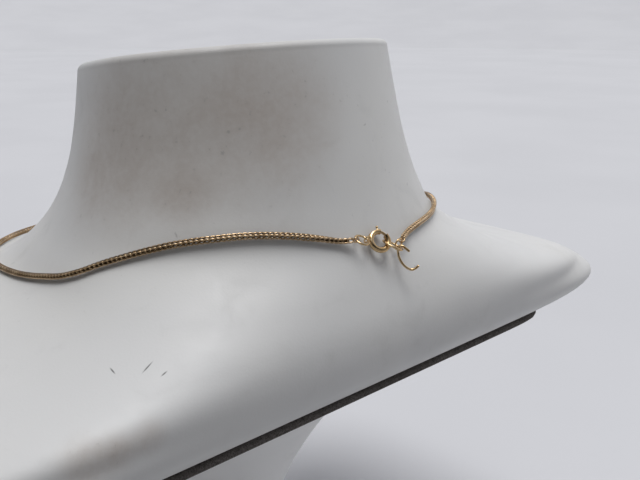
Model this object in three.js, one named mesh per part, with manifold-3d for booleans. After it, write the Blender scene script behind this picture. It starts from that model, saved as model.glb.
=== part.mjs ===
// A fine gold chain necklace with a bolt ring clasp, lying on a white neck bust.
// Millimetres, +Z up. The bust faces -Y, its left side is +X, and the origin is the middle of its foot.
import * as THREE from 'three';
import { mergeVertices } from 'three/addons/utils/BufferGeometryUtils.js';
import Module from 'manifold-3d';

// Bust form: level sections from the underside up to the rim of the neck, set out from the neck's axis.
// lean tips a section down towards the front, in degrees; its squareness is given behind and in front.
const FORM_ROWS = [
  { height: 144.5, width: 129.0, back: 57.0, front: 97.0, square: 8.0, frontSquare: 8.0, lean: 0.0 },
  { height: 146.5, width: 136.0, back: 60.8, front: 102.5, square: 8.0, frontSquare: 8.0, lean: 0.0 },
  { height: 151.0, width: 141.0, back: 64.5, front: 106.0, square: 6.8, frontSquare: 6.8, lean: 0.0 },
  { height: 157.0, width: 136.0, back: 66.5, front: 107.0, square: 4.9, frontSquare: 4.9, lean: 0.0 },
  { height: 163.0, width: 117.0, back: 67.0, front: 101.0, square: 5.6, frontSquare: 3.6, lean: 0.0 },
  { height: 169.0, width: 91.0, back: 66.0, front: 91.0, square: 4.6, frontSquare: 2.9, lean: 0.5 },
  { height: 176.0, width: 74.5, back: 63.0, front: 81.0, square: 3.3, frontSquare: 2.4, lean: 1.5 },
  { height: 185.0, width: 65.5, back: 58.7, front: 71.5, square: 2.2, frontSquare: 2.2, lean: 2.5 },
  { height: 196.0, width: 58.8, back: 54.3, front: 64.8, square: 2.05, frontSquare: 2.05, lean: 3.5 },
  { height: 209.0, width: 53.8, back: 50.4, front: 60.8, square: 2.0, frontSquare: 2.0, lean: 5.0 },
  { height: 222.0, width: 50.8, back: 46.9, front: 58.5, square: 2.0, frontSquare: 2.0, lean: 6.0 },
  { height: 237.1, width: 48.4, back: 43.2, front: 57.2, square: 2.0, frontSquare: 2.0, lean: 7.0 },
];
const FORM_SIDES = 64;
const FORM_RINGS = 31;
const RIM_ROUND = 2.2;

// Pad under the form, and the trumpet foot under the pad.
const GAP = 0.3;
const PAD_THICK = 2.5;
const PAD_WIDTH = 95;
const PAD_BACK = 58.8;
const PAD_FRONT = 92;
const PAD_SQUARE = 18;
const FOOT_CENTRE_Y = -20;
const FOOT_SIDES = 40;
const FOOT_TOP_R = 66;
const FOOT_WAIST_R = 21;
const FOOT_WAIST_Z = 62;
const FOOT_TOP_POWER = 1.56;
const FOOT_BASE_R = 78;
const FOOT_BASE_POWER = 4;
const FOOT_EDGE = 6;
const FOOT_EDGE_ROUND = 1.5;

// Chain: square section, and its height round the neck by the angle from the front.
const CHAIN_SIDE = 1.5;
const CHAIN_RADIUS = CHAIN_SIDE * 0.62;
const CHAIN_STEPS = 80;
const CHAIN_LEFT = [
  { angle: 0, height: 171.0 },
  { angle: 35, height: 172.0 },
  { angle: 58, height: 174.3 },
  { angle: 78, height: 177.3 },
  { angle: 90, height: 180.0 },
  { angle: 98, height: 182.4 },
  { angle: 106, height: 186.35 },
  { angle: 114, height: 189.7 },
  { angle: 122, height: 192.4 },
  { angle: 130, height: 194.0 },
  { angle: 141, height: 195.07 },
  { angle: 150, height: 194.7 },
  { angle: 158, height: 193.5 },
  { angle: 168, height: 191.2 },
];
const CHAIN_RIGHT = [
  { angle: 0, height: 171.0 },
  { angle: 35, height: 171.8 },
  { angle: 62, height: 173.7 },
  { angle: 82, height: 176.9 },
  { angle: 97, height: 181.6 },
  { angle: 109, height: 186.2 },
  { angle: 120, height: 188.8 },
  { angle: 132, height: 189.7 },
  { angle: 145, height: 189.75 },
  { angle: 154, height: 189.75 },
  { angle: 160, height: 189.55 },
  { angle: 165, height: 189.0 },
];
const EYE_R = 0.78;
const EYE_WIRE = 0.25;
const LEFT_EYE_ANGLE = 166;
const RIGHT_EYE_ANGLE = 34;

// Clasp, set out from one point of the nape: along the chain, out from the neck, down it.
const NAPE = new THREE.Vector3(-1.5, 58.1, 189.3);
const NAPE_SLOPE = 22.5;
const JUMP_RING = { radius: 2.1, wire: 0.3, along: -7.53, out: 1.98, down: -1.2, tilt: -43.1, turn: 5.5 };
const BOLT_RING = {
  radius: 2.75, wire: 0.85, along: -1.04, out: 1.97, down: 0.27, tilt: -13.6, turn: -11.8,
};
const CATCH_RING = { radius: 2.95, wire: 0.33, along: 2.52, out: 2.99, down: 2.44, tilt: -53.5, turn: 21.8 };
const END_RING = { radius: 1.6, wire: 0.29, along: 5.8, out: 2.16, down: 2.59, tilt: 34, turn: 6.2 };

// Soldered eye of the bolt ring: its place round the jump ring, which passes through it.
const BOLT_EYE_ANGLE = -1.5;
const BOLT_EYE_R = 1.08;
const BOLT_EYE_WIRE = 0.25;

// Middle of the bent-open ring's wire, from its loose end to the hook round the catch ring.
const OPEN_WIRE = 0.36;
const OPEN_PATH = [
  { along: 7.74, out: 5.78, down: 9.94 },
  { along: 7.01, out: 5.14, down: 10.47 },
  { along: 6.09, out: 4.34, down: 10.61 },
  { along: 5.32, out: 3.69, down: 9.98 },
  { along: 4.66, out: 3.12, down: 8.84 },
  { along: 4.24, out: 2.77, down: 7.42 },
  { along: 4.08, out: 2.64, down: 6.19 },
  { along: 4.16, out: 2.72, down: 4.95 },
  { along: 4.24, out: 2.94, down: 3.83 },
  { along: 4.52, out: 3.45, down: 3.24 },
  { along: 4.99, out: 4.18, down: 3.41 },
  { along: 5.49, out: 4.81, down: 4.39 },
  { along: 5.99, out: 5.37, down: 5.48 },
];

// Inside the bolt ring, by angle round it: the mouth, the slot and the sprung bolt.
const TUBE_BORE = 0.62;
const MOUTH_FROM = 21;
const MOUTH_TO = 61;
const SLOT_FROM = 67;
const SLOT_TO = 127;
const SLOT_HALF = 0.45;
const BOLT_R = 0.4;
const BOLT_FROM = 14;
const BOLT_TO = 113;
const TRIGGER_ANGLE = 75;
const TRIGGER_R = 0.3;
const TRIGGER_REACH = 0.5;
const TRIGGER_HEAD = 0.38;

const WHITE = { color: 0xd9d9d8, roughness: 0.55, metalness: 0 };
const SHADE = { color: 0x4a4543, roughness: 0.95, metalness: 0 };
const GOLD = { color: 0xc9a15a, roughness: 0.28, metalness: 1 };

const wasm = await Module();
wasm.setup();
const rad = THREE.MathUtils.degToRad;

function solid(geometry) {
  const bare = geometry.clone();
  bare.deleteAttribute('normal');
  bare.deleteAttribute('uv');
  const merged = mergeVertices(bare, 1e-4);
  const vertProperties = new Float32Array(merged.attributes.position.array);
  const triVerts = new Uint32Array(merged.index.array);
  return new wasm.Manifold(new wasm.Mesh({ numProp: 3, vertProperties, triVerts }));
}

function geometryOf(body) {
  const mesh = body.getMesh();
  const geometry = new THREE.BufferGeometry();
  geometry.setAttribute('position', new THREE.BufferAttribute(mesh.vertProperties, 3));
  geometry.setIndex(new THREE.BufferAttribute(mesh.triVerts, 1));
  geometry.computeVertexNormals();
  return geometry;
}

function node(name, geometry, look) {
  const mesh = new THREE.Mesh(geometry, new THREE.MeshStandardMaterial(look));
  mesh.name = name;
  return mesh;
}

// Smooth value of every column of the table at a place between its rows.
function rowAt(place) {
  const last = FORM_ROWS.length - 1;
  const i = Math.min(Math.floor(place), last - 1);
  const f = place - i;
  const row = {};
  for (const key of Object.keys(FORM_ROWS[0])) {
    const p0 = FORM_ROWS[Math.max(i - 1, 0)][key];
    const p1 = FORM_ROWS[i][key];
    const p2 = FORM_ROWS[i + 1][key];
    const p3 = FORM_ROWS[Math.min(i + 2, last)][key];
    const bend = (2 * p0 - 5 * p1 + 4 * p2 - p3) * f * f + (3 * p1 - p0 - 3 * p2 + p3) * f * f * f;
    row[key] = p1 + 0.5 * ((p2 - p0) * f + bend);
  }
  return row;
}

function sectionPoint(row, turn) {
  const c = Math.cos(turn);
  const s = Math.sin(turn);
  const square = s > 0 ? row.square : row.frontSquare;
  const k = (Math.abs(c) ** square + Math.abs(s) ** square) ** (-1 / square);
  const y = (s > 0 ? row.back : row.front) * s * k;
  return new THREE.Vector3(row.width * c * k, y, row.height + y * Math.tan(rad(row.lean)));
}

function ringOf(row) {
  const ring = [];
  for (let j = 0; j < FORM_SIDES; j += 1) {
    ring.push(sectionPoint(row, (2 * Math.PI * j) / FORM_SIDES));
  }
  return ring;
}

// Closed skin through rings that run upwards, with flat ends.
function skin(rings) {
  const count = rings[0].length;
  const points = rings.flat();
  const index = [];
  for (let i = 0; i + 1 < rings.length; i += 1) {
    for (let j = 0; j < count; j += 1) {
      const a = i * count + j;
      const b = i * count + ((j + 1) % count);
      index.push(a, b, b + count, a, b + count, a + count);
    }
  }
  for (const [i, flip] of [[0, true], [rings.length - 1, false]]) {
    const middle = new THREE.Vector3();
    rings[i].forEach((p) => middle.addScaledVector(p, 1 / count));
    const hub = points.push(middle) - 1;
    for (let j = 0; j < count; j += 1) {
      const a = i * count + j;
      const b = i * count + ((j + 1) % count);
      index.push(hub, flip ? b : a, flip ? a : b);
    }
  }
  const geometry = new THREE.BufferGeometry().setFromPoints(points);
  geometry.setIndex(index);
  geometry.computeVertexNormals();
  return geometry;
}

function bustForm() {
  const last = FORM_ROWS.length - 1;
  const rings = [];
  for (let i = 0; i < FORM_RINGS; i += 1) {
    rings.push(ringOf(rowAt((last * i) / (FORM_RINGS - 1))));
  }
  for (const turn of [30, 60, 90]) {
    const row = { ...FORM_ROWS[last] };
    const inset = RIM_ROUND * (1 - Math.cos(rad(turn)));
    row.width -= inset;
    row.back -= inset;
    row.front -= inset;
    row.height += RIM_ROUND * Math.sin(rad(turn));
    rings.push(ringOf(row));
  }
  return skin(rings);
}

function bustPad() {
  const top = FORM_ROWS[0].height - GAP;
  const size = { width: PAD_WIDTH, back: PAD_BACK, front: PAD_FRONT };
  const row = { ...size, square: PAD_SQUARE, frontSquare: PAD_SQUARE, lean: 0 };
  return skin([ringOf({ ...row, height: top - PAD_THICK }), ringOf({ ...row, height: top })]);
}

function bustFoot() {
  const top = FORM_ROWS[0].height - GAP - PAD_THICK - GAP;
  const profile = [new THREE.Vector2(0, 0)];
  profile.push(new THREE.Vector2(FOOT_BASE_R - FOOT_EDGE_ROUND, 0));
  profile.push(new THREE.Vector2(FOOT_BASE_R, FOOT_EDGE_ROUND));
  for (let i = 0; i <= 14; i += 1) {
    const z = FOOT_EDGE + (FOOT_WAIST_Z - FOOT_EDGE) * (i / 14) ** 1.5;
    const share = ((FOOT_WAIST_Z - z) / (FOOT_WAIST_Z - FOOT_EDGE)) ** FOOT_BASE_POWER;
    profile.push(new THREE.Vector2(FOOT_WAIST_R + (FOOT_BASE_R - FOOT_WAIST_R) * share, z));
  }
  for (let i = 1; i <= 12; i += 1) {
    const z = FOOT_WAIST_Z + ((top - FOOT_WAIST_Z) * i) / 12;
    const share = (i / 12) ** FOOT_TOP_POWER;
    profile.push(new THREE.Vector2(FOOT_WAIST_R + (FOOT_TOP_R - FOOT_WAIST_R) * share, z));
  }
  profile.push(new THREE.Vector2(0, top));
  const geometry = new THREE.LatheGeometry(profile, FOOT_SIDES);
  geometry.rotateX(Math.PI / 2);
  geometry.translate(0, FOOT_CENTRE_Y, 0);
  return geometry;
}

// Point of the form's surface at an angle from the front (positive to the left) and a height.
function surfacePoint(angle, height) {
  const sideways = Math.sin(rad(angle));
  const backwards = -Math.cos(rad(angle));
  let low = 0;
  let high = FORM_ROWS.length - 1;
  let point = null;
  for (let i = 0; i < 40; i += 1) {
    const place = (low + high) / 2;
    const row = rowAt(place);
    const depth = backwards > 0 ? row.back : row.front;
    point = sectionPoint(row, Math.atan2(backwards / depth, sideways / row.width));
    if (point.z > height) {
      high = place;
    } else {
      low = place;
    }
  }
  return point;
}

function heightAt(table, angle) {
  const last = table.length - 1;
  let i = 0;
  while (i < last - 1 && table[i + 1].angle < angle) {
    i += 1;
  }
  const a = table[i];
  const b = table[i + 1];
  const before = table[Math.max(i - 1, 0)];
  const after = table[Math.min(i + 2, last)];
  const f = (angle - a.angle) / (b.angle - a.angle);
  const width = b.angle - a.angle;
  const startSlope = i === 0 ? 0 : ((b.height - before.height) / (b.angle - before.angle)) * width;
  const endSlope = ((after.height - a.height) / (after.angle - a.angle)) * width;
  const rise = b.height - a.height;
  const square = (3 * rise - 2 * startSlope - endSlope) * f * f;
  const cube = (startSlope + endSlope - 2 * rise) * f * f * f;
  return a.height + startSlope * f + square + cube;
}

// Middle of the chain at an angle, lying on the form.
function chainPoint(table, angle, sign) {
  const height = heightAt(table, angle);
  const here = surfacePoint(sign * angle, height);
  const beside = surfacePoint(sign * (angle + 0.5), height).sub(here);
  const above = surfacePoint(sign * angle, height + 0.5).sub(here);
  const normal = beside.cross(above).multiplyScalar(sign).normalize();
  return here.addScaledVector(normal, CHAIN_RADIUS + GAP);
}

// Place set out from the nape: along the chain, out from the neck, down it.
const ALONG = new THREE.Vector3(-1, 0, 0);
const OUT = new THREE.Vector3(0, Math.cos(rad(NAPE_SLOPE)), Math.sin(rad(NAPE_SLOPE)));
const DOWN = new THREE.Vector3(0, Math.sin(rad(NAPE_SLOPE)), -Math.cos(rad(NAPE_SLOPE)));

function fromNape(place) {
  const point = NAPE.clone().addScaledVector(ALONG, place.along);
  return point.addScaledVector(OUT, place.out).addScaledVector(DOWN, place.down);
}

// Frame of a clasp ring: origin at its centre, z along its axis, x along the chain.
function ringFrame(ring) {
  const tilt = rad(ring.tilt);
  const turn = rad(ring.turn);
  const face = OUT.clone().multiplyScalar(Math.cos(tilt)).addScaledVector(DOWN, Math.sin(tilt));
  const axis = face.clone().multiplyScalar(Math.cos(turn)).addScaledVector(ALONG, Math.sin(turn));
  const x = ALONG.clone().multiplyScalar(Math.cos(turn)).addScaledVector(face, -Math.sin(turn));
  const y = axis.clone().cross(x);
  return new THREE.Matrix4().makeBasis(x, y, axis).setPosition(fromNape(ring));
}

function ringPoint(ring, angle) {
  const point = new THREE.Vector3(ring.radius * Math.cos(rad(angle)), ring.radius * Math.sin(rad(angle)), 0);
  return point.applyMatrix4(ringFrame(ring));
}

function closedRing(ring) {
  return new THREE.TorusGeometry(ring.radius, ring.wire, 10, 36).applyMatrix4(ringFrame(ring));
}

// Arc of a ring, in the ring's own plane.
class RingArc extends THREE.Curve {
  constructor(radius, from, to) {
    super();
    Object.assign(this, { radius, from, to });
  }

  getPoint(share, target = new THREE.Vector3()) {
    const angle = rad(this.from + (this.to - this.from) * share);
    return target.set(this.radius * Math.cos(angle), this.radius * Math.sin(angle), 0);
  }
}

function polygon(radius, sides) {
  const points = [];
  for (let i = 0; i < sides; i += 1) {
    const angle = (2 * Math.PI * (i + 0.5)) / sides;
    points.push(new THREE.Vector2(radius * Math.cos(angle), radius * Math.sin(angle)));
  }
  return points;
}

function sweep(outline, path, steps, hole = null) {
  const shape = new THREE.Shape(outline);
  if (hole) {
    shape.holes.push(new THREE.Path(hole));
  }
  return new THREE.ExtrudeGeometry(shape, { steps, extrudePath: path, bevelEnabled: false });
}

function openRing() {
  return sweep(polygon(OPEN_WIRE, 10), new THREE.CatmullRomCurve3(OPEN_PATH.map(fromNape)), 48);
}

// Small soldered eye, round the wire of the ring that it holds.
function wireEye(ring, angle, radius, wire) {
  const eye = new THREE.TorusGeometry(radius, wire, 8, 20);
  eye.rotateX(Math.PI / 2);
  eye.translate(ring.radius, 0, 0);
  eye.rotateZ(rad(angle));
  return solid(eye.applyMatrix4(ringFrame(ring)));
}

function boltRing() {
  const path = new RingArc(BOLT_RING.radius, MOUTH_TO, MOUTH_FROM + 360);
  const tube = sweep(polygon(BOLT_RING.wire, 14), path, 44, polygon(TUBE_BORE, 12));
  const slotPath = new RingArc(BOLT_RING.radius + 0.7, SLOT_FROM, SLOT_TO);
  const block = [[-0.7, -1], [0.7, -1], [0.7, 1], [-0.7, 1]];
  const slot = sweep(block.map(([a, b]) => new THREE.Vector2(a, b * SLOT_HALF)), slotPath, 12);
  const body = geometryOf(solid(tube).subtract(solid(slot))).applyMatrix4(ringFrame(BOLT_RING));
  return geometryOf(solid(body).add(wireEye(JUMP_RING, BOLT_EYE_ANGLE, BOLT_EYE_R, BOLT_EYE_WIRE)));
}

function boltSlide() {
  const path = new RingArc(BOLT_RING.radius, BOLT_FROM, BOLT_TO);
  const rod = sweep(polygon(BOLT_R, 10), path, 16);
  const reach = BOLT_RING.wire + TRIGGER_REACH;
  const pin = new THREE.CylinderGeometry(TRIGGER_R, TRIGGER_R, reach, 12);
  pin.translate(0, BOLT_RING.radius + reach / 2, 0);
  const head = new THREE.SphereGeometry(TRIGGER_HEAD, 14, 10);
  head.translate(0, BOLT_RING.radius + reach, 0);
  const trigger = solid(pin).add(solid(head));
  const turned = geometryOf(trigger).rotateZ(rad(TRIGGER_ANGLE - 90));
  return geometryOf(solid(rod).add(solid(turned))).applyMatrix4(ringFrame(BOLT_RING));
}

// Point of a chain eye's wire on the side where the chain comes in.
function eyeSide(ring, angle, chainEnd) {
  const middle = ringPoint(ring, angle);
  const wireRun = ringPoint(ring, angle + 90).sub(fromNape(ring)).normalize();
  return chainEnd.clone().sub(middle).projectOnPlane(wireRun).setLength(EYE_R).add(middle);
}

function chain() {
  const points = [];
  const leftEnd = CHAIN_LEFT[CHAIN_LEFT.length - 1].angle;
  const rightEnd = CHAIN_RIGHT[CHAIN_RIGHT.length - 1].angle;
  for (let i = 0; i <= 30; i += 1) {
    points.push(chainPoint(CHAIN_LEFT, leftEnd * (1 - i / 30), 1));
  }
  for (let i = 1; i <= 30; i += 1) {
    points.push(chainPoint(CHAIN_RIGHT, (rightEnd * i) / 30, -1));
  }
  const first = eyeSide(JUMP_RING, LEFT_EYE_ANGLE, points[0]);
  const final = eyeSide(END_RING, RIGHT_EYE_ANGLE, points[points.length - 1]);
  const path = new THREE.CatmullRomCurve3([first, ...points, final]);
  const tube = sweep(polygon(CHAIN_RADIUS, 8), path, CHAIN_STEPS);
  const leftLoop = wireEye(JUMP_RING, LEFT_EYE_ANGLE, EYE_R, EYE_WIRE);
  const rightLoop = wireEye(END_RING, RIGHT_EYE_ANGLE, EYE_R, EYE_WIRE);
  return geometryOf(solid(tube).add(leftLoop).add(rightLoop));
}

const necklace = new THREE.Group();
necklace.add(node('chain', chain(), GOLD));
necklace.add(node('jump_ring', closedRing(JUMP_RING), GOLD));
necklace.add(node('bolt_ring', boltRing(), GOLD));
necklace.add(node('bolt_slide', boltSlide(), GOLD));
necklace.add(node('catch_ring', closedRing(CATCH_RING), GOLD));
necklace.add(node('end_ring', closedRing(END_RING), GOLD));
necklace.add(node('open_ring', openRing(), GOLD));

const bust = new THREE.Group();
bust.add(node('bust_form', bustForm(), WHITE));
bust.add(node('bust_pad', bustPad(), SHADE));
bust.add(node('bust_foot', bustFoot(), WHITE));

const whole = new THREE.Group();
whole.add(bust, necklace);
whole.position.y = -FOOT_CENTRE_Y;

export default whole;
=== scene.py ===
import math

import bpy
import numpy as np
from mathutils import Matrix, Vector


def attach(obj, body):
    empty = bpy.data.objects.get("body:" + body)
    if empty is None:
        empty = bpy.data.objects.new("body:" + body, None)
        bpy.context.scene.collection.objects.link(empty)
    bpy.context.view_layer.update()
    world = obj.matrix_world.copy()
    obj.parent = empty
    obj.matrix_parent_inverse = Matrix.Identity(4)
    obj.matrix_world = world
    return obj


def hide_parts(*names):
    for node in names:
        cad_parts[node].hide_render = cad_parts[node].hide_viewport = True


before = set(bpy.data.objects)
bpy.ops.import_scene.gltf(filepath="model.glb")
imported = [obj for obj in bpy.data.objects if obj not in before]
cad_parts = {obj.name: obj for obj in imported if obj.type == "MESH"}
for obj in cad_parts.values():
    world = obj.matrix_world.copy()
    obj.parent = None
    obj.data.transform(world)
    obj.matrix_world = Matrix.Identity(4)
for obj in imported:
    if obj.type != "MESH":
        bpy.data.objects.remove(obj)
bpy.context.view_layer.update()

# Lengths are in millimetres, places are from the neck's axis and table angles are in degrees,
# except where a comment says otherwise.
MM = 0.001

# Bust form: height, half width, depth behind and in front, squareness behind, lean, squareness in front.
FORM_ROWS = np.array([
    (144.5, 129.0, 57.0, 97.0, 8.0, 0.0, 8.0),
    (146.5, 136.0, 60.8, 102.5, 8.0, 0.0, 8.0),
    (151.0, 141.0, 64.5, 106.0, 6.8, 0.0, 6.8),
    (157.0, 136.0, 66.5, 107.0, 4.9, 0.0, 4.9),
    (163.0, 117.0, 67.0, 101.0, 5.6, 0.0, 3.6),
    (169.0, 91.0, 66.0, 91.0, 4.6, 0.5, 2.9),
    (176.0, 74.5, 63.0, 81.0, 3.3, 1.5, 2.4),
    (185.0, 65.5, 58.7, 71.5, 2.2, 2.5, 2.2),
    (196.0, 58.8, 54.3, 64.8, 2.05, 3.5, 2.05),
    (209.0, 53.8, 50.4, 60.8, 2.0, 5.0, 2.0),
    (222.0, 50.8, 46.9, 58.5, 2.0, 6.0, 2.0),
    (237.1, 48.4, 43.2, 57.2, 2.0, 7.0, 2.0),
])
SIZES = slice(1, 4)
FORM_SIDES = 240
FORM_RINGS = 133
UNDERSIDE_SHARES = (0.25, 0.5, 0.75, 0.92)
TOP_SHARES = (0.9, 0.7, 0.45, 0.2)
RIM_ROUND = 2.2
RIM_STEPS = 11

# Pad and foot under the form
GAP = 0.3
PAD = {"thick": 2.5, "width": 95.0, "back": 58.8, "front": 92.0, "square": 18.0}
PAD_SIDES = 200
PAD_ROUND = 0.9
PAD_SHARES = (0.4, 0.8)
EDGE_STEPS = 6
FOOT_Y = -20.0
FOOT_SIDES = 128
FOOT_TOP_R = 66.0
FOOT_WAIST_R = 21.0
FOOT_WAIST_Z = 62.0
FOOT_TOP_POWER = 1.56
FOOT_TOP_STEPS = 40
FOOT_TOP_SHARES = (0.8, 0.4)
FOOT_BASE_R = 78.0
FOOT_BASE_POWER = 4.0
FOOT_BASE_STEPS = 48
FOOT_BASE_SPREAD = 1.5
FOOT_BASE_SHARES = (0.3, 0.7, 0.9)
FOOT_EDGE = 6.0
FOOT_EDGE_ROUND = 1.5
SHIFT = np.array([0.0, -FOOT_Y, 0.0])

# Chain: angle from the front and height, on the left and on the right.
CHAIN_LEFT = [
    (0, 171.0), (35, 172.0), (58, 174.3), (78, 177.3), (90, 180.0), (98, 182.4), (106, 186.35),
    (114, 189.7), (122, 192.4), (130, 194.0), (141, 195.07), (150, 194.7), (158, 193.5), (168, 191.2),
]
CHAIN_RIGHT = [
    (0, 171.0), (35, 171.8), (62, 173.7), (82, 176.9), (97, 181.6), (109, 186.2),
    (120, 188.8), (132, 189.7), (145, 189.75), (154, 189.75), (160, 189.55), (165, 189.0),
]
CHAIN_RADIUS = 0.93
CHAIN_STEPS = 30
CHAIN_SPLINE = 24
HALVINGS = 40
NORMAL_STEP = 0.5
LINK_PITCH = 1.42
LINK_WIRE = 0.26
LINK_POINTS = 36
LOOP_STEPS = 12
LINK_SIDES = 7
LINK_ROLL = math.radians(45)
ROLL_RUN = 14
# A thin near-black core inside the links is painted shade: it stands in for the shaded inner wires between
# them.
CORE_RADIUS = 0.36
CORE_SIDES = 12
CORE_PLACES = slice(8, -8, 6)
EYE_R = 0.78
EYE_WIRE = 0.25
EYE_POINTS = 32
EYE_SIDES = 12

# One quarter of a link, from its waist to the tip of its lobe: across, sideways, along the chain.
LINK_QUARTER = [
    (0.00, 0.24, 0.00),
    (0.26, 0.30, 0.05),
    (0.47, 0.38, 0.34),
    (0.54, 0.50, 0.80),
    (0.51, 0.56, 1.25),
    (0.40, 0.48, 1.68),
    (0.28, 0.22, 1.90),
    (0.25, 0.00, 1.94),
]

# Clasp rings: radius, wire, place along, out and down from the nape, tilt and turn.
NAPE = np.array([-1.5, 58.1, 189.3])
NAPE_SLOPE = math.radians(22.5)
ALONG = np.array([-1.0, 0.0, 0.0])
OUT = np.array([0.0, math.cos(NAPE_SLOPE), math.sin(NAPE_SLOPE)])
DOWN = np.array([0.0, math.sin(NAPE_SLOPE), -math.cos(NAPE_SLOPE)])
JUMP_RING = (2.1, 0.3, -7.53, 1.98, -1.2, -43.1, 5.5)
CATCH_RING = (2.95, 0.33, 2.52, 2.99, 2.44, -53.5, 21.8)
END_RING = (1.6, 0.29, 5.8, 2.16, 2.59, 34, 6.2)
LEFT_EYE_ANGLE = 166
RIGHT_EYE_ANGLE = 34
RING_POINTS = 72
WIRE_SIDES = 16

# Least bend, in radians, of an edge that stays sharp on the clasp's solids
REAL_EDGE = 0.75

# Middle of the bent-open ring's wire, from its loose end to its hook: along, out and down from the nape.
OPEN_WIRE = 0.36
OPEN_SPLINE = 8
OPEN_ENDS = (0.6, 0.85, 0.97)
OPEN_PATH = [
    (7.74, 5.78, 9.94), (7.01, 5.14, 10.47), (6.09, 4.34, 10.61), (5.32, 3.69, 9.98), (4.66, 3.12, 8.84),
    (4.24, 2.77, 7.42), (4.08, 2.64, 6.19), (4.16, 2.72, 4.95), (4.24, 2.94, 3.83), (4.52, 3.45, 3.24),
    (4.99, 4.18, 3.41), (5.49, 4.81, 4.39), (5.99, 5.37, 5.48),
]

# Marks on the white lacquer, by angle and height: warm darker patches with their reach, scratches from end
# to end.
DARK_PATCHES = [
    (108.8, 224, 36), (141, 221, 33), (124.9, 204.5, 13), (154, 228, 26), (98, 210, 30),
    (124.5, 160.4, 9), (127.1, 161, 7), (129.8, 161.8, 6),
]
SCRATCHES = [
    ((121.24, 172.07), (122.86, 171.34)),
    ((126.45, 171.49), (127.44, 173.23)),
    ((129.27, 171.02), (130.03, 171.81)),
]
SCRATCH_WIDE = 0.27
SCRATCH_DEEP = 0.6

# Colours of the lacquer, felt, gold and floor
FORM_WHITE = (0.66, 0.656, 0.642)
# The foot's white is much lighter than the form's same lacquer: painted light for the light the foot lacks
# under the bust.
FOOT_WHITE_PAINTED_LIGHT = (0.88, 0.875, 0.86)
COOL_TINT = (0.955, 0.96, 0.975)
PATCH_TINT = (0.68, 0.61, 0.565)
FELT_DARK = (0.05, 0.045, 0.042)
FELT_PALE = (0.20, 0.18, 0.168)
FELT_WORN = (0.08, 0.072, 0.067)
# The chain's gold is darker than the rings' gold: partly its own bronze tone, partly painted shade for the
# shade among the links.
CHAIN_GOLD_SHADED = ((0.38, 0.262, 0.148), (0.57, 0.42, 0.262))
# Near-black gold of the chain's core: painted shade for the shadowed inner wires between the links.
CORE_SHADE_GOLD = ((0.05, 0.033, 0.019), (0.09, 0.06, 0.035))
RING_GOLD = ((0.55, 0.375, 0.19), (0.76, 0.565, 0.325))
TARNISH = (0.24, 0.145, 0.07)
FLOOR_TONES = ((0.585, 0.588, 0.61), (0.61, 0.613, 0.635))
# The floor on the camera side is painted dark: painted shade that cuts the bounce light onto the bust and
# chain.
FLOOR_NEAR_SHADE = (0.26, 0.26, 0.262)
NEAR_SIDE = (0.68, 0.73, 0.0)

# Camera: its place in metres, its lens and sensor in millimetres.
CAMERA_HEADING = math.radians(136.94)
CAMERA_PITCH = math.radians(16.4)
CAMERA_PLACE = (0.15876, 0.2259, 0.2534)
CAMERA_LENS = 45
SENSOR_WIDTH = 36

# Floor, in metres: it is level to LEVEL_R and then rises gently to the horizon.
FLOOR_RINGS = 30
FLOOR_SIDES = 96
FLOOR_FIRST_R = 0.15
FLOOR_GROWTH = 1.2
LEVEL_R = 5
FLOOR_RISE = 0.2

# Studio light: towards, where it starts and is full, and how bright.
STUDIO = [
    ((0.0, 0.0, 1.0), 0.62, 0.97, 0.98),
    ((-0.68, -0.73, 0.0), 0.3, 0.95, 0.60),
    ((-0.93, 0.37, 0.0), 0.35, 0.95, 0.60),
]
STUDIO_COLOUR = (0.95, 0.958, 1.0, 1)
SUN_TOWARD = (0.03, 0.13, 1.0)
SUN_SPREAD = math.radians(32)
SUN_STRENGTH = 1.7


def row_frame(points):
    """Millimetres from the neck's axis to metres in the row frame."""
    return (np.asarray(points, float) + SHIFT) * MM


def mesh_object(name, points, faces, material, sharp):
    mesh = bpy.data.meshes.new(name)
    mesh.from_pydata(row_frame(points).tolist(), [], faces)
    mesh.update()
    mesh.shade_smooth()
    if sharp:
        mesh.set_sharp_from_angle(angle=math.radians(sharp))
    obj = bpy.data.objects.new(name, mesh)
    bpy.context.scene.collection.objects.link(obj)
    mesh.materials.append(material)
    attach(obj, "display")
    return obj


def full_turn(count):
    return np.linspace(0, 2 * math.pi, count, endpoint=False)


def unit(vectors):
    return vectors / np.linalg.norm(vectors, axis=-1, keepdims=True)


def run_length(path):
    """Length along a path at each of its points."""
    return np.concatenate([[0], np.cumsum(np.linalg.norm(np.diff(path, axis=0), axis=1))])


def between(p0, p1, p2, p3, f):
    """Smooth value between the two middle ones of four."""
    bend = (2 * p0 - 5 * p1 + 4 * p2 - p3) * f ** 2 + (3 * p1 - p0 - 3 * p2 + p3) * f ** 3
    return p1 + 0.5 * ((p2 - p0) * f + bend)


def cubic(start, rise, slope, end_slope, f):
    """Value part of the way up a rise, with its slopes at the start and the end."""
    square = (3 * rise - 2 * slope - end_slope) * f ** 2
    return start + slope * f + square + (slope + end_slope - 2 * rise) * f ** 3


# Bust

def row_at(place):
    last = len(FORM_ROWS) - 1
    i = min(int(place), last - 1)
    p0 = FORM_ROWS[max(i - 1, 0)]
    p3 = FORM_ROWS[min(i + 2, last)]
    return between(p0, FORM_ROWS[i], FORM_ROWS[i + 1], p3, place - i)


def section(row, turns):
    height, width, back, front, square, lean, front_square = row
    c = np.cos(turns)
    s = np.sin(turns)
    power = np.where(s > 0, square, front_square)
    k = (np.abs(c) ** power + np.abs(s) ** power) ** (-1 / power)
    y = np.where(s > 0, back, front) * s * k
    return np.stack([width * c * k, y, height + y * math.tan(math.radians(lean))], -1)


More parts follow.
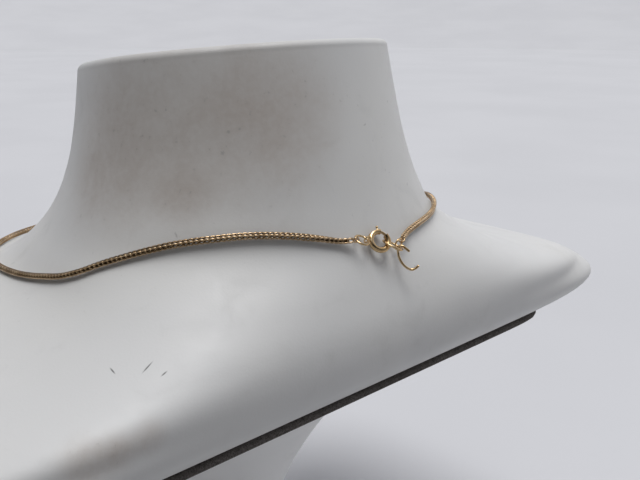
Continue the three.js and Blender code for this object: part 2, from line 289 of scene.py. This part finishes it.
def scaled_section(row, share, turns):
    smaller = row.copy()
    smaller[SIZES] *= share
    return section(smaller, turns)


def quarter_round(steps):
    """Pairs of shares over a quarter turn: one falls from 1 to 0 while the other grows from 0 to 1."""
    turns = np.radians(np.linspace(0, 90, steps))
    return list(zip(1 - np.sin(turns), 1 - np.cos(turns)))


def skin(rings):
    """Closed skin through rings that run upwards, with a fan at each end."""
    count = len(rings[0])
    points = np.concatenate(rings)
    faces = []
    for i in range(len(rings) - 1):
        for j in range(count):
            a = i * count + j
            b = i * count + (j + 1) % count
            faces.append((a, b, b + count, a + count))
    hubs = np.stack([rings[0].mean(0), rings[-1].mean(0)])
    low = len(points)
    top = (len(rings) - 1) * count
    for j in range(count):
        n = (j + 1) % count
        faces.append((low, n, j))
        faces.append((low + 1, top + j, top + n))
    return np.concatenate([points, hubs]), faces


def bust_form(material):
    turns = full_turn(FORM_SIDES)
    last = len(FORM_ROWS) - 1
    rings = [scaled_section(FORM_ROWS[0], share, turns) for share in UNDERSIDE_SHARES]
    for place in np.linspace(0, last, FORM_RINGS):
        rings.append(section(row_at(place), turns))
    for below, inset in quarter_round(RIM_STEPS)[1:]:
        rim = FORM_ROWS[last].copy()
        rim[SIZES] -= RIM_ROUND * inset
        rim[0] += RIM_ROUND * (1 - below)
        rings.append(section(rim, turns))
    rings += [scaled_section(rim, share, turns) for share in TOP_SHARES]
    points, faces = skin(rings)
    obj = mesh_object("neck_and_shoulders", points, faces, material, 50)
    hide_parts("bust_form")


def pad_ring(height, share, inset, turns):
    sizes = [PAD[side] * share - inset for side in ("width", "back", "front")]
    return section(np.array([height, *sizes, PAD["square"], 0, PAD["square"]]), turns)


def bust_pad(material):
    turns = full_turn(PAD_SIDES)
    top = FORM_ROWS[0][0] - GAP
    low = top - PAD["thick"]
    edge = quarter_round(EDGE_STEPS)
    rings = [pad_ring(low, share, 0, turns) for share in PAD_SHARES]
    rings += [pad_ring(low + PAD_ROUND * away, 1, PAD_ROUND * inset, turns) for away, inset in edge[::-1]]
    rings += [pad_ring(top - PAD_ROUND * away, 1, PAD_ROUND * inset, turns) for away, inset in edge]
    rings += [pad_ring(top, share, 0, turns) for share in PAD_SHARES[::-1]]
    points, faces = skin(rings)
    obj = mesh_object("felt_pad", points, faces, material, 60)
    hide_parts("bust_pad")


def foot_profile():
    """Radius and height of the foot, from its underside up to the pad."""
    top = FORM_ROWS[0][0] - GAP - PAD["thick"] - GAP
    profile = [(FOOT_BASE_R * share, 0.0) for share in FOOT_BASE_SHARES]
    for inset, rise in quarter_round(EDGE_STEPS):
        profile.append((FOOT_BASE_R - FOOT_EDGE_ROUND * inset, FOOT_EDGE_ROUND * rise))
    flare = FOOT_WAIST_Z - FOOT_EDGE
    for i in range(FOOT_BASE_STEPS + 1):
        z = FOOT_EDGE + flare * (i / FOOT_BASE_STEPS) ** FOOT_BASE_SPREAD
        share = ((FOOT_WAIST_Z - z) / flare) ** FOOT_BASE_POWER
        profile.append((FOOT_WAIST_R + (FOOT_BASE_R - FOOT_WAIST_R) * share, z))
    for i in range(1, FOOT_TOP_STEPS + 1):
        z = FOOT_WAIST_Z + (top - FOOT_WAIST_Z) * i / FOOT_TOP_STEPS
        share = (i / FOOT_TOP_STEPS) ** FOOT_TOP_POWER
        profile.append((FOOT_WAIST_R + (FOOT_TOP_R - FOOT_WAIST_R) * share, z))
    return profile + [(FOOT_TOP_R * share, top) for share in FOOT_TOP_SHARES]


def bust_foot(material):
    turns = full_turn(FOOT_SIDES)
    rings = []
    for r, z in foot_profile():
        rings.append(np.stack([r * np.cos(turns), FOOT_Y + r * np.sin(turns), np.full_like(turns, z)], -1))
    points, faces = skin(rings)
    obj = mesh_object("trumpet_foot", points, faces, material, 40)
    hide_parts("bust_foot")


# Wires

def catmull(points, values, per):
    """Centripetal Catmull-Rom through points, with values carried along."""
    p = np.concatenate([[2 * points[0] - points[1]], points, [2 * points[-1] - points[-2]]])
    v = np.concatenate([[values[0]], values, [values[-1]]])
    f = np.linspace(0, 1, per, endpoint=False)[:, None]
    out = []
    carried = []
    for i in range(1, len(p) - 2):
        d = [max(np.linalg.norm(p[i + k] - p[i + k - 1]) ** 0.5, 1e-6) for k in (0, 1, 2)]
        rise = p[i + 1] - p[i]
        m1 = (p[i] - p[i - 1]) / d[0] - (p[i + 1] - p[i - 1]) / (d[0] + d[1]) + rise / d[1]
        m2 = rise / d[1] - (p[i + 2] - p[i]) / (d[1] + d[2]) + (p[i + 2] - p[i + 1]) / d[2]
        out.append(cubic(p[i], rise, m1 * d[1], m2 * d[1], f))
        carried.append(v[i] * (1 - f) + v[i + 1] * f)
    out.append(p[-2][None])
    carried.append(v[-2][None])
    return np.concatenate(out), np.concatenate(carried)


def on_line(at, along, values):
    """Values of a line's points at the given lengths along it."""
    return np.stack([np.interp(at, along, values[:, k]) for k in range(3)], -1)


def closed_loop(control, count):
    """Even points on a closed Catmull-Rom curve."""
    n = len(control)
    f = np.linspace(0, 1, LOOP_STEPS, endpoint=False)[:, None]
    dense = []
    for i in range(n):
        nearby = [control[(i + k) % n] for k in (-1, 0, 1, 2)]
        dense.append(between(*nearby, f))
    ring = np.concatenate([*dense, dense[0][:1]])
    length = run_length(ring)
    return on_line(np.linspace(0, length[-1], count, endpoint=False), length, ring)


def tube(path, radius, sides, closed, up):
    """Round wire along a path, with its faces."""
    n = len(path)
    if closed:
        tangent = unit(np.roll(path, -1, 0) - np.roll(path, 1, 0))
    else:
        tangent = unit(np.gradient(path, axis=0))
    side = unit(up - tangent * np.sum(up * tangent, 1)[:, None])
    other = np.cross(tangent, side)
    turns = full_turn(sides)
    radius = np.broadcast_to(np.asarray(radius, float), (n,))
    ring = side[:, None] * np.cos(turns)[None, :, None] + other[:, None] * np.sin(turns)[None, :, None]
    points = (path[:, None] + ring * radius[:, None, None]).reshape(-1, 3)
    faces = []
    for i in range(n if closed else n - 1):
        k = (i + 1) % n
        for j in range(sides):
            m = (j + 1) % sides
            faces.append((i * sides + j, i * sides + m, k * sides + m, k * sides + j))
    if not closed:
        faces.append(tuple(range(sides))[::-1])
        faces.append(tuple((n - 1) * sides + j for j in range(sides)))
    return points, faces


def join(parts):
    points = []
    faces = []
    offset = 0
    for p, f in parts:
        points.append(p)
        faces.extend(tuple(i + offset for i in face) for face in f)
        offset += len(p)
    return np.concatenate(points), faces


# Clasp rings

def from_nape(along, out, down):
    return NAPE + ALONG * along + OUT * out + DOWN * down


def ring_frame(ring):
    """Middle of a ring, two directions across it and its axis."""
    tilt, turn = (math.radians(angle) for angle in ring[5:])
    face = OUT * math.cos(tilt) + DOWN * math.sin(tilt)
    axis = face * math.cos(turn) + ALONG * math.sin(turn)
    x = ALONG * math.cos(turn) - face * math.sin(turn)
    return from_nape(*ring[2:5]), x, np.cross(axis, x), axis


def ring_point(ring, angle):
    centre, x, y, _ = ring_frame(ring)
    return centre + ring[0] * (x * math.cos(math.radians(angle)) + y * math.sin(math.radians(angle)))


def torus(ring):
    centre, x, y, axis = ring_frame(ring)
    turns = full_turn(RING_POINTS)[:, None]
    path = centre + ring[0] * (np.cos(turns) * x + np.sin(turns) * y)
    return tube(path, ring[1], WIRE_SIDES, True, np.broadcast_to(axis, path.shape))


def open_wire():
    points = np.array([from_nape(*place) for place in OPEN_PATH])
    path, _ = catmull(points, points, OPEN_SPLINE)
    radius = np.full(len(path), OPEN_WIRE)
    radius[:len(OPEN_ENDS)] *= OPEN_ENDS
    radius[-len(OPEN_ENDS):] *= OPEN_ENDS[::-1]
    facing = np.cross(points[6] - points[2], points[0] - points[2])
    return tube(path, radius, WIRE_SIDES, False, np.broadcast_to(facing, path.shape))


def clasp_rings(material):
    for name, node, ring in (
        ("jump_ring_wire", "jump_ring", JUMP_RING),
        ("catch_ring_wire", "catch_ring", CATCH_RING),
        ("end_ring_wire", "end_ring", END_RING),
    ):
        points, faces = torus(ring)
        obj = mesh_object(name, points, faces, material, None)
        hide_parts(node)
    points, faces = open_wire()
    obj = mesh_object("open_ring_wire", points, faces, material, 50)
    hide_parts("open_ring")


# Chain

def surface_point(angle, height):
    """Point of the form at an angle from the front, positive to the left, and a height."""
    sideways = math.sin(math.radians(angle))
    backwards = -math.cos(math.radians(angle))
    low = 0.0
    high = len(FORM_ROWS) - 1.0
    for _ in range(HALVINGS):
        place = (low + high) / 2
        row = row_at(place)
        width, back, front = row[SIZES]
        depth = back if backwards > 0 else front
        point = section(row, np.array(math.atan2(backwards / depth, sideways / width)))
        if point[2] > height:
            high = place
        else:
            low = place
    return point


def height_at(table, angle):
    """Height of the chain at an angle from the front, on the side of the table."""
    last = len(table) - 1
    i = 0
    while i < last - 1 and table[i + 1][0] < angle:
        i += 1
    a = table[i]
    b = table[i + 1]
    before = table[max(i - 1, 0)]
    after = table[min(i + 2, last)]
    width = b[0] - a[0]
    slope = 0 if i == 0 else (b[1] - before[1]) / (b[0] - before[0]) * width
    end_slope = (after[1] - a[1]) / (after[0] - a[0]) * width
    return cubic(a[1], b[1] - a[1], slope, end_slope, (angle - a[0]) / width)


def chain_point(table, angle, sign):
    """Middle of the chain at an angle, and the form's normal there."""
    height = height_at(table, angle)
    here = surface_point(sign * angle, height)
    beside = surface_point(sign * (angle + NORMAL_STEP), height) - here
    above = surface_point(sign * angle, height + NORMAL_STEP) - here
    normal = unit(np.cross(beside, above) * sign)
    return here + normal * (CHAIN_RADIUS + GAP), normal


def eye_side(ring, angle, chain_end):
    """Point of a chain eye's wire on the side where the chain comes in."""
    middle = ring_point(ring, angle)
    run = unit(ring_point(ring, angle + 90) - ring_frame(ring)[0])
    side = chain_end - middle
    side -= run * np.dot(side, run)
    return middle + unit(side) * EYE_R


def chain_line():
    """Middle of the chain from its right end to its left, with the form's normals."""
    left_end = CHAIN_LEFT[-1][0]
    right_end = CHAIN_RIGHT[-1][0]
    shares = [i / CHAIN_STEPS for i in range(CHAIN_STEPS + 1)]
    places = [chain_point(CHAIN_RIGHT, right_end * share, -1) for share in shares[:0:-1]]
    places += [chain_point(CHAIN_LEFT, left_end * share, 1) for share in shares]
    points = [point for point, _ in places]
    normals = [normal for _, normal in places]
    right = eye_side(END_RING, RIGHT_EYE_ANGLE, points[0])
    left = eye_side(JUMP_RING, LEFT_EYE_ANGLE, points[-1])
    points = np.array([right, *points, left])
    normals = np.array([normals[0], *normals, normals[-1]])
    return catmull(points, normals, CHAIN_SPLINE)


def link_loop():
    """Middle of one link's wire: a loop folded into two lobes that stand side by side."""
    quarter = np.array(LINK_QUARTER)
    half = np.concatenate([quarter, (quarter[::-1] * (1, -1, 1))[1:]])
    return closed_loop(np.concatenate([half, (half * (-1, -1, 1))[1:-1]]), LINK_POINTS)


def chain_links(path, normal):
    """Links along the whole line, rolled by LINK_ROLL, which eases off over ROLL_RUN at the left end."""
    along = run_length(path)
    tangent = unit(np.gradient(path, axis=0))
    link = link_loop()
    room = along[-1] - LINK_QUARTER[-1][2]
    count = int(round(room / LINK_PITCH))
    links = []
    for i in range(count + 1):
        at = i * room / count + link[:, 2]
        c = on_line(at, along, path)
        t = unit(on_line(at, along, tangent))
        n = on_line(at, along, normal)
        n = unit(n - t * np.sum(n * t, 1)[:, None])
        b = np.cross(t, n)
        roll = LINK_ROLL * np.clip((along[-1] - at) / ROLL_RUN, 0, 1)[:, None]
        across = b * np.cos(roll) - n * np.sin(roll)
        sideways = n * np.cos(roll) + b * np.sin(roll)
        wire = c + sideways * link[:, 1:2] + across * link[:, 0:1]
        links.append(tube(wire, LINK_WIRE, LINK_SIDES, True, wire - c))
    return links


def chain_eye(ring, angle):
    """Small soldered eye round the wire of the ring that holds a chain end."""
    centre, _, _, axis = ring_frame(ring)
    middle = ring_point(ring, angle)
    radial = unit(middle - centre)
    turns = full_turn(EYE_POINTS)[:, None]
    circle = middle + EYE_R * (np.cos(turns) * radial + np.sin(turns) * axis)
    return tube(circle, EYE_WIRE, EYE_SIDES, True, circle - middle)


def chain(material, core_shade):
    path, normal = chain_line()
    # The core is a near-black tube of painted shade that fills the gaps between the links.
    core = tube(path[CORE_PLACES], CORE_RADIUS, CORE_SIDES, False, normal[CORE_PLACES])
    eyes = [chain_eye(JUMP_RING, LEFT_EYE_ANGLE), chain_eye(END_RING, RIGHT_EYE_ANGLE)]
    points, faces = join(chain_links(path, normal) + eyes + [core])
    obj = mesh_object("chain_links", points, faces, material, None)
    obj.data.materials.append(core_shade)
    for face in list(obj.data.polygons)[-len(core[1]):]:
        face.material_index = 1
    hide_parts("chain")


# Materials

class Nodes:
    """Small helper that adds and links shader nodes."""

    def __init__(self, name):
        self.material = bpy.data.materials.new(name)
        self.material.use_nodes = True
        self.tree = self.material.node_tree
        self.tree.nodes.clear()
        self.out = self.add("ShaderNodeOutputMaterial")
        self.shader = self.add("ShaderNodeBsdfPrincipled")
        self.link(self.shader.outputs[0], self.out.inputs[0])
        self.place = self.add("ShaderNodeTexCoord").outputs["Object"]

    def add(self, kind, **values):
        node = self.tree.nodes.new(kind)
        for key, value in values.items():
            setattr(node, key, value)
        return node

    def link(self, a, b):
        self.tree.links.new(a, b)

    def noise(self, scale, detail, rough, distortion=0.0):
        node = self.add("ShaderNodeTexNoise")
        node.inputs["Scale"].default_value = scale
        node.inputs["Detail"].default_value = detail
        node.inputs["Roughness"].default_value = rough
        node.inputs["Distortion"].default_value = distortion
        self.link(self.place, node.inputs["Vector"])
        return node.outputs[0]

    def ramp(self, value, low, high, to_low=0.0, to_high=1.0):
        node = self.add("ShaderNodeMapRange", interpolation_type="SMOOTHSTEP")
        node.inputs["From Min"].default_value = low
        node.inputs["From Max"].default_value = high
        node.inputs["To Min"].default_value = to_low
        node.inputs["To Max"].default_value = to_high
        self.link(value, node.inputs["Value"])
        return node.outputs[0]

    def math(self, operation, a, b):
        node = self.add("ShaderNodeMath", operation=operation)
        for socket, value in zip(node.inputs, (a, b)):
            if isinstance(value, (int, float)):
                socket.default_value = value
            else:
                self.link(value, socket)
        return node.outputs[0]

    def mix(self, factor, a, b):
        node = self.add("ShaderNodeMix", data_type="RGBA")
        self.link(factor, node.inputs[0])
        for socket, value in ((node.inputs[6], a), (node.inputs[7], b)):
            if isinstance(value, tuple):
                socket.default_value = (*value, 1.0)
            else:
                self.link(value, socket)
        return node.outputs[2]

    def spot(self, centre, half, soft, run=None):
        """Soft ellipsoid round a point: 1 within, 0 outside."""
        node = self.add("ShaderNodeMapping", vector_type="TEXTURE")
        node.inputs["Location"].default_value = centre
        node.inputs["Scale"].default_value = half
        if run is not None:
            node.inputs["Rotation"].default_value = Vector(run).to_track_quat("X", "Z").to_euler()
        self.link(self.place, node.inputs["Vector"])
        reach = self.add("ShaderNodeVectorMath", operation="LENGTH")
        self.link(node.outputs[0], reach.inputs[0])
        return self.ramp(reach.outputs["Value"], soft, 1.0, 1.0, 0.0)

    def bump(self, height, strength, distance, normal=None):
        node = self.add("ShaderNodeBump")
        node.inputs["Strength"].default_value = strength
        node.inputs["Distance"].default_value = distance
        self.link(height, node.inputs["Height"])
        if normal is not None:
            self.link(normal, node.inputs["Normal"])
        return node.outputs[0]


def tinted(tone, tint):
    return tuple(v * f for v, f in zip(tone, tint))


def darker(tone, share):
    return tuple(v * share for v in tone)


def lacquer(name, tone, smudge, patch_list=(), scratches=()):
    n = Nodes(name)
    broad = n.noise(16, 3, 0.5)
    smear = n.noise(75, 6, 0.62, 0.6)
    fine = n.noise(520, 4, 0.6)
    grain = n.noise(1500, 2, 0.5)
    colour = n.mix(n.ramp(broad, 0.35, 0.68), tinted(tone, COOL_TINT), tone)
    colour = n.mix(n.ramp(smear, 0.54, 0.74, 0.0, smudge), colour, darker(tone, 0.78))
    specks = n.math("MULTIPLY", n.ramp(fine, 0.66, 0.76), n.ramp(broad, 0.46, 0.62))
    # Each patch mottles the lacquer towards a warm brown inside a soft ellipsoid, with darker specks.
    for angle, height, reach in patch_list:
        spot = n.spot(row_frame(surface_point(angle, height)), (reach * MM,) * 3, 0.1)
        cloud = n.math("MULTIPLY", spot, n.ramp(smear, 0.3, 0.7, 0.42, 0.66))
        cloud = n.math("MULTIPLY", cloud, n.ramp(fine, 0.35, 0.6, 0.8, 1.0))
        colour = n.mix(cloud, colour, tinted(tone, PATCH_TINT))
        specks = n.math("MAXIMUM", specks, n.math("MULTIPLY", spot, n.ramp(fine, 0.63, 0.74)))
    colour = n.mix(n.math("MULTIPLY", specks, 0.5), colour, darker(tone, 0.45))
    for start, end in scratches:
        a = row_frame(surface_point(*start))
        b = row_frame(surface_point(*end))
        half = (float(np.linalg.norm(b - a)) * 0.55, SCRATCH_WIDE * MM, SCRATCH_DEEP * MM)
        line = n.spot((a + b) / 2, half, 0.2, b - a)
        colour = n.mix(n.math("MULTIPLY", line, 0.9), colour, darker(tone, 0.12))
    n.link(colour, n.shader.inputs["Base Color"])
    n.link(n.ramp(smear, 0.3, 0.75, 0.42, 0.62), n.shader.inputs["Roughness"])
    n.shader.inputs["Specular IOR Level"].default_value = 0.4
    wave = n.bump(broad, 0.25, 1.6 * MM)
    n.link(n.bump(grain, 0.08, 0.3 * MM, wave), n.shader.inputs["Normal"])
    return n.material


def felt(name):
    n = Nodes(name)
    broad = n.noise(40, 3, 0.5)
    fibre = n.noise(1400, 6, 0.7, 1.4)
    colour = n.mix(n.ramp(fibre, 0.3, 0.72), FELT_DARK, FELT_PALE)
    colour = n.mix(n.ramp(broad, 0.4, 0.7, 0.0, 0.35), colour, FELT_WORN)
    n.link(colour, n.shader.inputs["Base Color"])
    n.shader.inputs["Roughness"].default_value = 0.95
    n.shader.inputs["Specular IOR Level"].default_value = 0.15
    n.link(n.bump(fibre, 0.8, 0.5 * MM), n.shader.inputs["Normal"])
    return n.material


def gold(name, tones, rough_low, rough_high):
    n = Nodes(name)
    patch = n.noise(260, 4, 0.6)
    fine = n.noise(2600, 4, 0.6)
    wear = n.noise(1100, 5, 0.65, 0.5)
    colour = n.mix(n.ramp(patch, 0.36, 0.66), *tones)
    colour = n.mix(n.ramp(wear, 0.56, 0.74, 0.0, 0.55), colour, TARNISH)
    n.link(colour, n.shader.inputs["Base Color"])
    n.shader.inputs["Metallic"].default_value = 1.0
    n.link(n.ramp(fine, 0.3, 0.7, rough_low, rough_high), n.shader.inputs["Roughness"])
    n.link(n.bump(wear, 0.25, 0.06 * MM), n.shader.inputs["Normal"])
    return n.material


def floor_material():
    n = Nodes("pale_floor")
    broad = n.noise(3, 3, 0.5)
    fine = n.noise(240, 4, 0.6)
    colour = n.mix(n.ramp(broad, 0.3, 0.7), *FLOOR_TONES)
    # Painted shade: the floor turns dark towards the camera side.
    side = n.add("ShaderNodeVectorMath", operation="DOT_PRODUCT")
    n.link(n.place, side.inputs[0])
    side.inputs[1].default_value = NEAR_SIDE
    colour = n.mix(n.ramp(side.outputs["Value"], -0.05, 0.4), colour, FLOOR_NEAR_SHADE)
    n.link(colour, n.shader.inputs["Base Color"])
    n.link(n.ramp(fine, 0.3, 0.7, 0.75, 0.9), n.shader.inputs["Roughness"])
    n.shader.inputs["Specular IOR Level"].default_value = 0.2
    return n.material


def smooth_metal(obj):
    """Round off the facets of a metal solid's shading, keeping its real edges."""
    tree = bpy.data.node_groups.new("round_shading_" + obj.name, "GeometryNodeTree")
    for way in ("INPUT", "OUTPUT"):
        tree.interface.new_socket("Geometry", in_out=way, socket_type="NodeSocketGeometry")
    source = tree.nodes.new("NodeGroupInput")
    target = tree.nodes.new("NodeGroupOutput")
    merge = tree.nodes.new("GeometryNodeMergeByDistance")
    merge.inputs["Distance"].default_value = 1e-6
    faces = tree.nodes.new("GeometryNodeSetShadeSmooth")
    faces.domain = "FACE"
    angle = tree.nodes.new("GeometryNodeInputMeshEdgeAngle")
    compare = tree.nodes.new("FunctionNodeCompare")
    compare.data_type = "FLOAT"
    compare.operation = "GREATER_THAN"
    compare.inputs[1].default_value = REAL_EDGE
    edges = tree.nodes.new("GeometryNodeSetShadeSmooth")
    edges.domain = "EDGE"
    edges.inputs["Shade Smooth"].default_value = False
    for start, end in (
        (source.outputs[0], merge.inputs["Geometry"]),
        (merge.outputs[0], faces.inputs["Geometry"]),
        (faces.outputs[0], edges.inputs["Geometry"]),
        (angle.outputs["Unsigned Angle"], compare.inputs[0]),
        (compare.outputs[0], edges.inputs["Selection"]),
        (edges.outputs[0], target.inputs[0]),
    ):
        tree.links.new(start, end)
    obj.modifiers.new("round_shading", "NODES").node_group = tree


# Stage

def camera():
    level = math.cos(CAMERA_PITCH)
    ahead = math.cos(CAMERA_HEADING)
    aside = math.sin(CAMERA_HEADING)
    right = Vector((ahead, aside, 0))
    back = Vector((aside * level, -ahead * level, math.sin(CAMERA_PITCH)))
    turn = Matrix((right, back.cross(right), back)).transposed().to_4x4()
    data = bpy.data.cameras.new("photo_camera")
    data.sensor_width = SENSOR_WIDTH
    data.lens = CAMERA_LENS
    data.clip_start = 0.01
    obj = bpy.data.objects.new("photo_camera", data)
    obj.matrix_world = Matrix.Translation(CAMERA_PLACE) @ turn
    bpy.context.scene.collection.objects.link(obj)
    bpy.context.scene.camera = obj


def floor():
    points = [(0, 0, 0)]
    faces = []
    for i in range(FLOOR_RINGS):
        radius = FLOOR_FIRST_R * FLOOR_GROWTH ** i
        rise = FLOOR_RISE * max(radius - LEVEL_R, 0)
        for turn in full_turn(FLOOR_SIDES):
            points.append((radius * math.cos(turn), radius * math.sin(turn), rise))
    for j in range(FLOOR_SIDES):
        n = (j + 1) % FLOOR_SIDES
        faces.append((0, 1 + j, 1 + n))
        for i in range(FLOOR_RINGS - 1):
            a = 1 + i * FLOOR_SIDES
            faces.append((a + j, a + FLOOR_SIDES + j, a + FLOOR_SIDES + n, a + n))
    mesh = bpy.data.meshes.new("floor")
    mesh.from_pydata(points, [], faces)
    mesh.materials.append(floor_material())
    obj = bpy.data.objects.new("floor", mesh)
    bpy.context.scene.collection.objects.link(obj)


def sun():
    data = bpy.data.lights.new("overhead", "SUN")
    data.angle = SUN_SPREAD
    data.energy = SUN_STRENGTH
    obj = bpy.data.objects.new("overhead", data)
    obj.rotation_euler = (-Vector(SUN_TOWARD)).to_track_quat("-Z", "Y").to_euler()
    obj.location = Vector(SUN_TOWARD) * 1.5
    bpy.context.scene.collection.objects.link(obj)


def glow(nodes, links, direction, toward, low, high, amount):
    """One soft patch of studio light, on the horizon or overhead."""
    dot = nodes.new("ShaderNodeVectorMath")
    dot.operation = "DOT_PRODUCT"
    dot.inputs[1].default_value = toward
    links.new(direction, dot.inputs[0])
    patch = nodes.new("ShaderNodeMapRange")
    patch.interpolation_type = "SMOOTHSTEP"
    patch.inputs["From Min"].default_value = low
    patch.inputs["From Max"].default_value = high
    patch.inputs["To Min"].default_value = 0
    patch.inputs["To Max"].default_value = amount
    links.new(dot.outputs["Value"], patch.inputs["Value"])
    return patch.outputs[0]


def studio():
    world = bpy.data.worlds.new("studio")
    bpy.context.scene.world = world
    world.use_nodes = True
    nodes = world.node_tree.nodes
    links = world.node_tree.links
    direction = nodes.new("ShaderNodeTexCoord").outputs["Generated"]
    patches = [glow(nodes, links, direction, *patch) for patch in STUDIO]
    total = patches[0]
    for patch in patches[1:]:
        add = nodes.new("ShaderNodeMath")
        add.operation = "ADD"
        links.new(total, add.inputs[0])
        links.new(patch, add.inputs[1])
        total = add.outputs[0]
    back = nodes["Background"]
    back.inputs["Color"].default_value = STUDIO_COLOUR
    links.new(total, back.inputs["Strength"])
    bpy.context.scene.view_settings.view_transform = "Standard"


camera()
floor()
studio()
sun()
bust_form(lacquer("white_lacquer", FORM_WHITE, 0.25, DARK_PATCHES, SCRATCHES))
bust_pad(felt("dark_felt"))
# The foot's lacquer is a lightened copy of the form's: painted light.
bust_foot(lacquer("white_foot_lacquer_painted_light", FOOT_WHITE_PAINTED_LIGHT, 0.22))
chain(gold("chain_gold_shaded", CHAIN_GOLD_SHADED, 0.16, 0.30), gold("core_painted_shade", CORE_SHADE_GOLD, 0.45, 0.65))
ring_gold = gold("ring_gold", RING_GOLD, 0.14, 0.28)
clasp_rings(ring_gold)
for name in ("bolt_ring", "bolt_slide"):
    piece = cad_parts[name]
    for place in piece.material_slots:
        place.material = ring_gold
    smooth_metal(piece)
